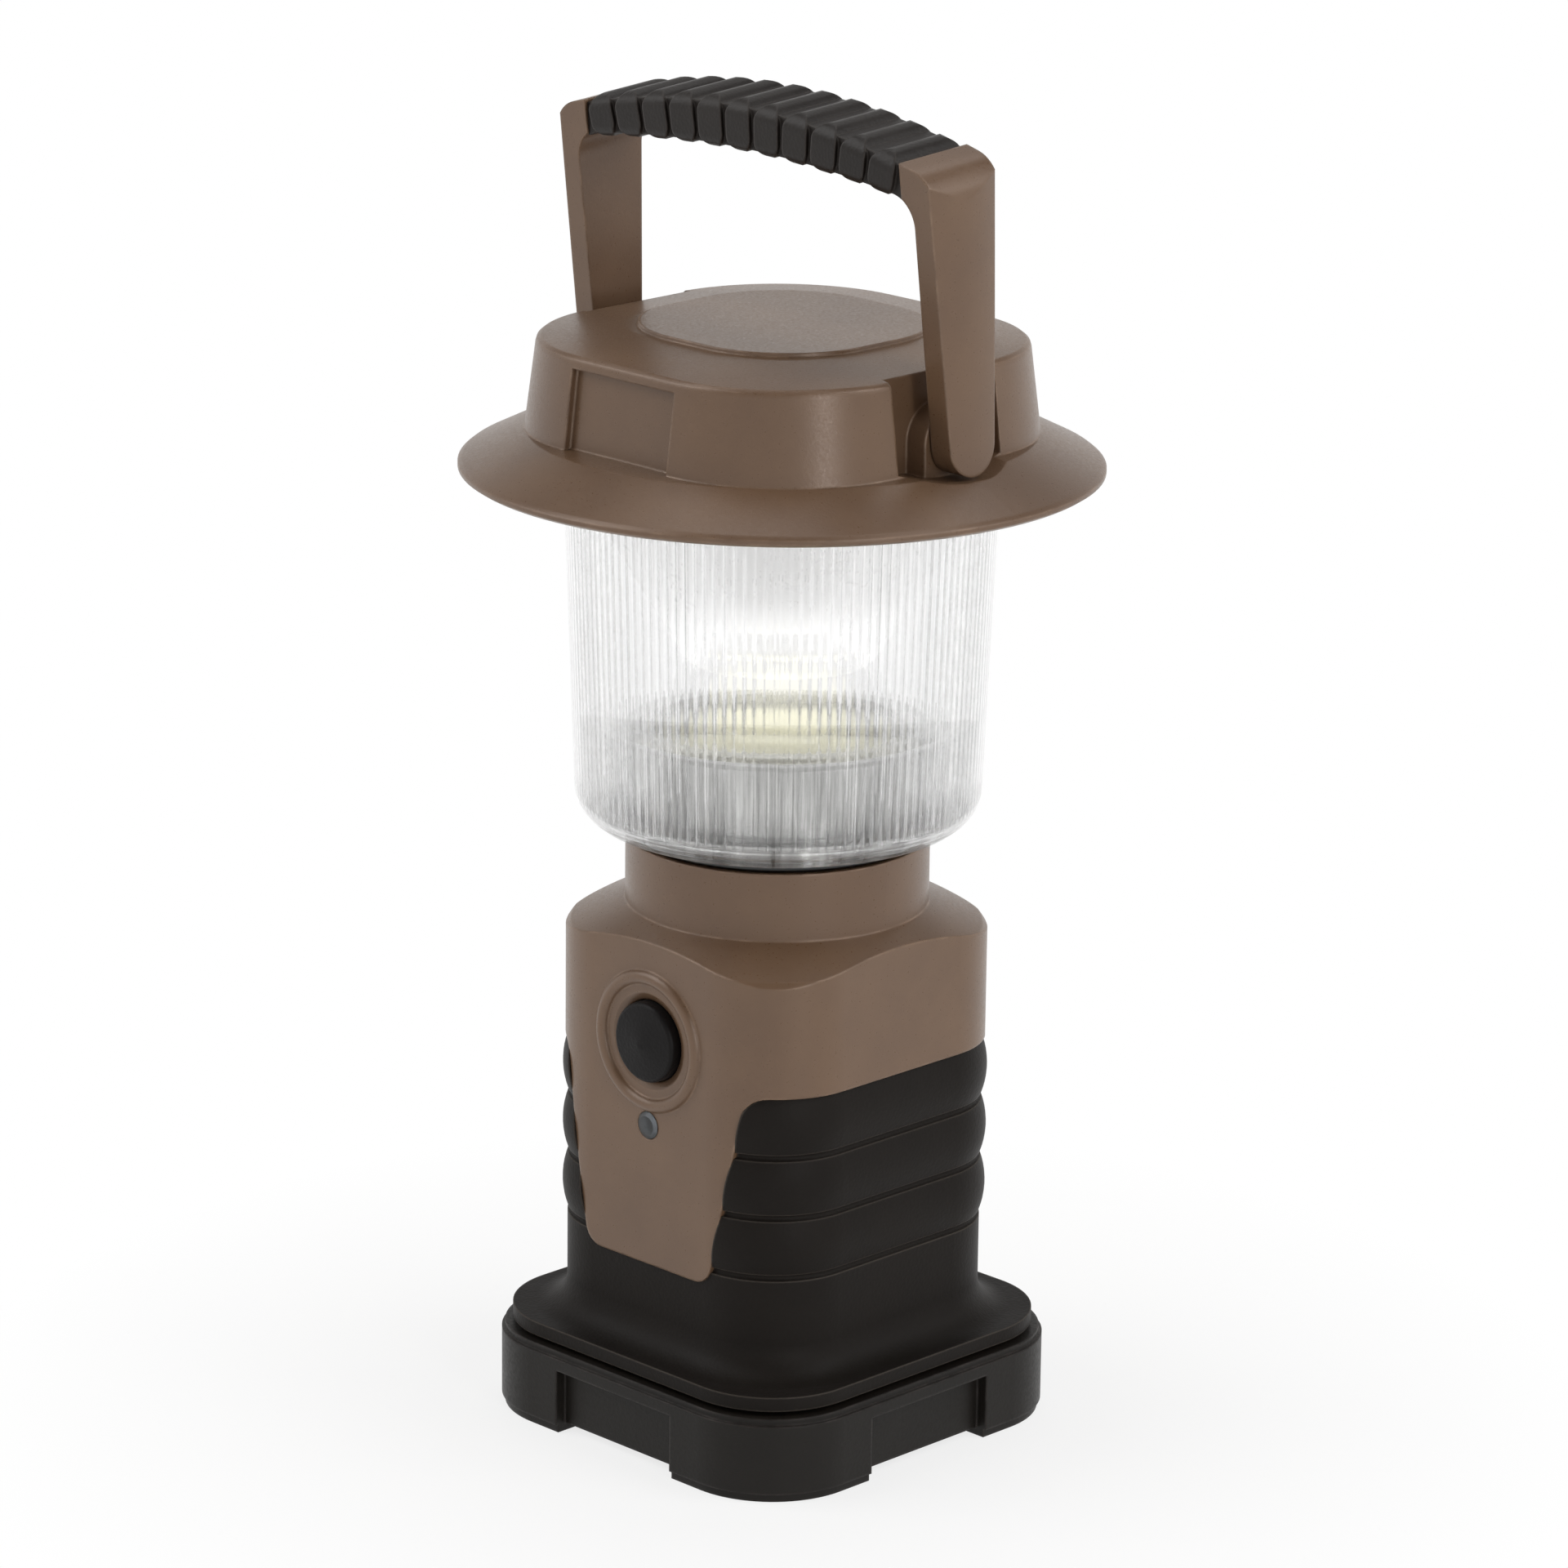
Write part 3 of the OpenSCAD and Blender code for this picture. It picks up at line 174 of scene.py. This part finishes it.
def ribbed_rubber(name, base, shade, roughness, edge_mm, specular, edge_light):
    """Thermoplastic rubber: matt, faintly dusty in the drift, with a fine leathery grain and a painted
    highlight that makes the edges greyer."""
    dust_mm, pebble_mm, pebble_depth_mm = 10.0, 0.45, 0.02
    material, tree, shader = start_material(
        name, base, roughness, Sheen_Weight=0.02, Sheen_Roughness=0.4, Specular_IOR_Level=specular)
    where = place(tree)
    dust = ramp(tree, noise(tree, where, dust_mm, 5.0, 0.65), 0.42, 0.72, 0.0, 1.0)
    dusty = mixed(tree, dust, linear(base), linear(shade))
    rounded = soft_edge(tree, edge_mm)
    # painted highlight: the rounded edges are mixed towards a lighter, greyer colour
    edge_highlight = edge_mask(tree, rounded)
    tree.links.new(mixed(tree, edge_highlight, dusty, linear(edge_light)), shader.inputs["Base Color"])
    pebble = add(tree, "ShaderNodeTexVoronoi", {
        "Vector": where, "Scale": 1.0 / (pebble_mm * MM)}).outputs["Distance"]
    tree.links.new(ramp(tree, dust, 0.0, 1.0, roughness, roughness + 0.08), shader.inputs["Roughness"])
    tree.links.new(bump(tree, pebble, pebble_depth_mm, rounded), shader.inputs["Normal"])
    return material


def painted_lamp_glow(material, node, strength):
    """Painted glow of the lamp's light on a node above it: emission, brightest at the node's foot, which
    clear plastic would hold back."""
    tree = material.node_tree
    shader = tree.nodes["Principled BSDF"]
    low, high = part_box(node)
    height = upright(tree, place(tree))
    shader.inputs["Emission Color"].default_value = WHITE
    reach = 0.4 * (high[2] - low[2])
    glow = ramp(tree, height, low[2], low[2] + reach, strength, 0.0)
    tree.links.new(glow, shader.inputs["Emission Strength"])


def phosphor_coat():
    """Silicone with yellow phosphor over the chips: granular, and glowing as the lamp is lit."""
    grit_mm, grit_depth_mm = 0.5, 0.03
    material, tree, shader = start_material("phosphor_silicone", "#f8f4d8", 0.5)
    grit = noise(tree, place(tree), grit_mm, 3.0)
    colour = mixed(tree, grit, linear("#fbf9e4"), linear("#f5f0ca"))
    tree.links.new(colour, shader.inputs["Base Color"])
    tree.links.new(colour, shader.inputs["Emission Color"])
    shader.inputs["Emission Strength"].default_value = 1.35
    tree.links.new(bump(tree, grit, grit_depth_mm), shader.inputs["Normal"])
    return material


def cell_film():
    """Shrink film round the cells: a dark body and a copper band above it, both scuffed brown."""
    band_from, band_full = 41.9 * MM, 42.0 * MM
    scuff_mm, wrinkle_mm, wrinkle_depth_mm, edge_mm = 4.0, 1.2, 0.01, 0.3
    material, tree, shader = start_material("cell_shrink_film", "#2c2f33", 0.3, Coat_Weight=0.4)
    where = place(tree)
    band = ramp(tree, upright(tree, where), band_from, band_full, 0.0, 1.0)
    film = mixed(tree, band, linear("#2c2f33"), linear("#b4813a"))
    scuff = ramp(tree, noise(tree, where, scuff_mm), 0.4, 0.6, 0.0, 0.25)
    tree.links.new(mixed(tree, scuff, film, linear("#4a4038")), shader.inputs["Base Color"])
    wrinkle = noise(tree, where, wrinkle_mm)
    tree.links.new(bump(tree, wrinkle, wrinkle_depth_mm, soft_edge(tree, edge_mm)), shader.inputs["Normal"])
    return material


# ------------------------------------------------------------------ the lantern's materials

# Bronze-brown ABS with mica flake: satin, a little metallic, with a painted highlight that makes its edges
# lighter in patches
bronze_abs = moulded_plastic("bronze_mica_abs", "#705742", "#68503d", 0.32, 0.35, 0.012, 0.45, "#967b65",
                             Metallic=0.12, Specular_IOR_Level=0.55)
# Black-brown ABS of the base with a coarser grain, so it looks flatter than the bronze
black_abs = moulded_plastic("black_brown_abs", "#1e1b18", "#191613", 0.42, 0.45, 0.02, 0.45, "#3c3633",
                            Specular_IOR_Level=0.2)
# Overmoulded thermoplastic rubber of the sleeve: darker and flatter than the plastic round it
sleeve_rubber = ribbed_rubber("overmoulded_rubber", "#181411", "#1d1916", 0.5, 0.35, 0.12, "#4c4640")
# Rubber of the grip: smoother from use, so its ribs catch soft lights
grip_rubber = ribbed_rubber("grip_rubber", "#1d1815", "#25201d", 0.38, 0.35, 0.25, "#3a3430")
# Silicone of the button: a neutral black with a dull shine on its dome
button_rubber = ribbed_rubber("button_silicone", "#151313", "#1a1818", 0.4, 0.25, 0.12, "#2c2a29")
# Oiled nitrile ring: black with a bright line of light
ring_nitrile = moulded_plastic("oiled_nitrile_ring", "#050505", "#080808", 0.16, 0.8, 0.003, 0.1, "#0a0a0a")
# Clear polycarbonate: the flutes bend what lies behind into stripes, and the alpha lets some light
# straight through, which keeps the thin wall white
globe_clear = polished_clear("fluted_polycarbonate", "#ffffff", 0.05, 1.5, Alpha=0.64)
# Frosted acrylic of the lamp's lens: blurs the yellow disc under it
lens_clear = polished_clear("lens_acrylic", "#f8f7e8", 0.3, 1.49)
# Smoked acrylic of the indicator: a grey window
window_clear = polished_clear("indicator_acrylic", "#8f959b", 0.3, 1.49)
# Vacuum-metallised ABS under a satin lacquer: takes the light of the room as a soft white, with a painted
# glow of the lamp added by emission
mirror_cone = moulded_plastic("satin_metallised_abs", "#ffffff", "#fafafa", 0.3, 2.5, 0.004, 0.25,
                              "#ffffff", Metallic=0.5)
painted_lamp_glow(mirror_cone, "cone_reflector", 0.72)
# Chromed drum of the lamp: painted bright and dark upright streaks stand in for the light and shade that
# the flutes round it throw on it
drum_metal = worked_metal("chromed_drum", "#dadad8", "#70706e", 0.2, 1.1, 0.25, streak=0.02)
# Dark grey ABS of the carrier and the switch: plain and matt
grey_abs = moulded_plastic("dark_grey_abs", "#3b3d40", "#34363a", 0.5, 0.4, 0.015, 0.2, "#505357")
# White PBT of small mouldings: warm white with a dull shine
white_pbt = moulded_plastic("white_pbt", "#e3e0d6", "#d9d5ca", 0.42, 0.5, 0.008, 0.15, "#efede6")
# Zinc-plated steel of screws, washers and clip: cool and satin
zinc_steel = worked_metal("zinc_plated_steel", "#b9bbbc", "#a9acae", 0.3, 0.6)
# Nickel-plated strip of the contacts: warmer and brighter than the screws
nickel_strip = worked_metal("nickel_plated_strip", "#c6c3ba", "#b8b5ab", 0.24, 0.8)
# Turned brass of the insert: yellow, with tool marks in its gloss
turned_brass = worked_metal("turned_brass", "#c39a4c", "#b18a41", 0.28, 0.4)
# Sheet aluminium of the heat sink: pale and dull
sheet_aluminium = worked_metal("sheet_aluminium", "#b8bcc0", "#abafb3", 0.36, 0.5)
# Green solder mask of the boards: glossy, with pale cut edges
board_lacquer = moulded_plastic("green_solder_mask", "#20563a", "#1b4b33", 0.3, 0.6, 0.006, 0.1, "#c0b27a")
# Red PVC of the leads: a soft shine
lead_pvc = moulded_plastic("red_pvc_lead", "#a32a22", "#8f241d", 0.4, 0.6, 0.006, 0.1, "#b0382f")
phosphor = phosphor_coat()
film = cell_film()

FINISHES = {
    bronze_abs: ["body_shell", "top_cap", "handle_frame"],
    black_abs: ["base_cover"],
    sleeve_rubber: ["grip_sleeve", "base_seal"],
    grip_rubber: ["handle_grip"],
    button_rubber: ["power_button"],
    ring_nitrile: ["neck_seal"],
    globe_clear: ["globe"],
    lens_clear: ["led_lens"],
    window_clear: ["indicator_lens"],
    mirror_cone: ["cone_reflector"],
    drum_metal: ["lamp_holder"],
    grey_abs: ["battery_carrier", "switch_housing"],
    white_pbt: ["switch_plunger", "indicator_led", "led_board"],
    zinc_steel: ["lock_screw", "lock_clip", "carrier_screws", "driver_screws", "deck_screws", "led_screws",
                 "reflector_screws", "pivot_washers", "pivot_screws"],
    nickel_strip: ["cell_springs", "contact_strips", "pickup_springs"],
    turned_brass: ["thread_insert"],
    sheet_aluminium: ["heat_sink"],
    board_lacquer: ["switch_board", "driver_board"],
    lead_pvc: ["lead_wires"],
    phosphor: ["led_emitter"],
    film: ["aa_cells"],
}
for finish, nodes in FINISHES.items():
    for node in nodes:
        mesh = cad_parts[node].data
        mesh.materials.clear()
        mesh.materials.append(finish)


# ------------------------------------------------------------------ floor, light and camera

def studio_floor():
    """A pale floor that keeps the shadow near the lantern and fades to plain white further out.
    It's see-through from below, so that the underside can be looked at."""
    fade_from, fade_to = 0.04, 0.10
    near_white = 0.78
    bpy.ops.mesh.primitive_circle_add(vertices=96, radius=6.0, fill_type="NGON", location=(0, 0, 0))
    floor = bpy.context.object
    floor.name = "studio_floor"
    material, tree, shader = start_material("pale_floor_paint", "#f4f4f3", 0.9, Specular_IOR_Level=0.1)
    distance = add(tree, "ShaderNodeVectorMath", {0: place(tree)}, operation="LENGTH").outputs["Value"]
    far = ramp(tree, distance, fade_from, fade_to, near_white, 1.0)
    rays = add(tree, "ShaderNodeLightPath").outputs
    seen = reckon(tree, "MAXIMUM", rays["Is Camera Ray"], rays["Is Glossy Ray"])
    seen = reckon(tree, "MAXIMUM", seen, rays["Is Transmission Ray"])
    fac = reckon(tree, "MULTIPLY", seen, far)
    white = add(tree, "ShaderNodeEmission", {"Color": WHITE, "Strength": 1.0}).outputs["Emission"]
    painted = add(tree, "ShaderNodeMixShader", {
        0: fac, 1: shader.outputs["BSDF"], 2: white}).outputs["Shader"]
    below = add(tree, "ShaderNodeNewGeometry").outputs["Backfacing"]
    clear = add(tree, "ShaderNodeBsdfTransparent").outputs["BSDF"]
    one_way = add(tree, "ShaderNodeMixShader", {0: below, 1: painted, 2: clear}).outputs["Shader"]
    tree.links.new(one_way, tree.nodes["Material Output"].inputs["Surface"])
    floor.data.materials.append(material)


def studio_world():
    """A bright horizon under a dim sky for the lantern. The camera and clear plastic see plain
    white, and gloss sees white at the horizon."""
    zenith_strength = 0.12
    world = bpy.data.worlds.new("studio_world")
    bpy.context.scene.world = world
    world.use_nodes = True
    tree = world.node_tree
    tree.nodes.clear()
    rays = add(tree, "ShaderNodeLightPath").outputs
    seen = reckon(tree, "MAXIMUM", rays["Is Camera Ray"], rays["Is Transmission Ray"])
    upward = upright(tree, add(tree, "ShaderNodeTexCoord").outputs["Generated"])
    diffuse = ramp(tree, upward, 0.1, 0.6, 0.8, zenith_strength)
    gloss = ramp(tree, upward, 0.3, 0.65, 1.0, zenith_strength)
    strength = add(tree, "ShaderNodeMix", {
        "Factor": rays["Is Glossy Ray"], "A": diffuse, "B": gloss}).outputs["Result"]
    dim = add(tree, "ShaderNodeBackground", {"Color": linear("#f6f5f4"), "Strength": strength})
    white = add(tree, "ShaderNodeBackground", {"Color": WHITE, "Strength": 1.0})
    blend = add(tree, "ShaderNodeMixShader", {0: seen, 1: dim.outputs[0], 2: white.outputs[0]})
    add(tree, "ShaderNodeOutputWorld", {"Surface": blend.outputs[0]})


def outward(azimuth_deg, elevation_deg):
    """Direction away from the lantern; azimuth 0 is its front, and 90 its right side."""
    azimuth, elevation = math.radians(azimuth_deg), math.radians(elevation_deg)
    return Vector((math.cos(elevation) * math.sin(azimuth), -math.cos(elevation) * math.cos(azimuth),
                   math.sin(elevation)))


def softbox(name, azimuth, elevation, distance, width, height, watts):
    """A rectangular lamp aimed at the lantern's middle, in degrees, metres and watts."""
    lamp = bpy.data.lights.new(name, "AREA")
    lamp.shape = "RECTANGLE"
    lamp.size, lamp.size_y, lamp.energy = width, height, watts
    box = bpy.data.objects.new(name, lamp)
    middle = Vector((0, 0, 80 * MM))
    box.location = middle + distance * outward(azimuth, elevation)
    box.rotation_euler = (middle - box.location).to_track_quat("-Z", "Y").to_euler()
    bpy.context.collection.objects.link(box)


def main_camera():
    """Long lens from the front right, a little above, with the lantern leaning a hair to the right."""
    distance, roll_deg = 776.4 * MM, 0.68
    target = Vector((0, 0, 88.3 * MM))
    back = outward(44.95, 15.83)
    camera = bpy.data.cameras.new("main_camera")
    camera.lens, camera.sensor_width = 151.4, 36.0
    camera.shift_x, camera.shift_y = 0.0030, -0.0544
    camera.clip_start = 10 * MM
    seat = bpy.data.objects.new("main_camera", camera)
    aim = (-back).to_track_quat("-Z", "Y").to_matrix().to_4x4()
    roll = Matrix.Rotation(math.radians(roll_deg), 4, "Z")
    seat.matrix_world = Matrix.Translation(target + distance * back) @ aim @ roll
    bpy.context.collection.objects.link(seat)
    bpy.context.scene.camera = seat


studio_floor()
studio_world()
softbox("left_softbox", -46, 46, 0.9, 0.6, 0.7, 3.7)
softbox("right_softbox", 120, 46, 1.0, 0.5, 0.8, 3.9)
softbox("front_softbox", 74, 12, 1.1, 0.22, 0.8, 2.6)
softbox("top_softbox", 215, 66, 1.0, 0.7, 0.7, 2.2)
main_camera()
bpy.context.scene.view_settings.view_transform = "Standard"
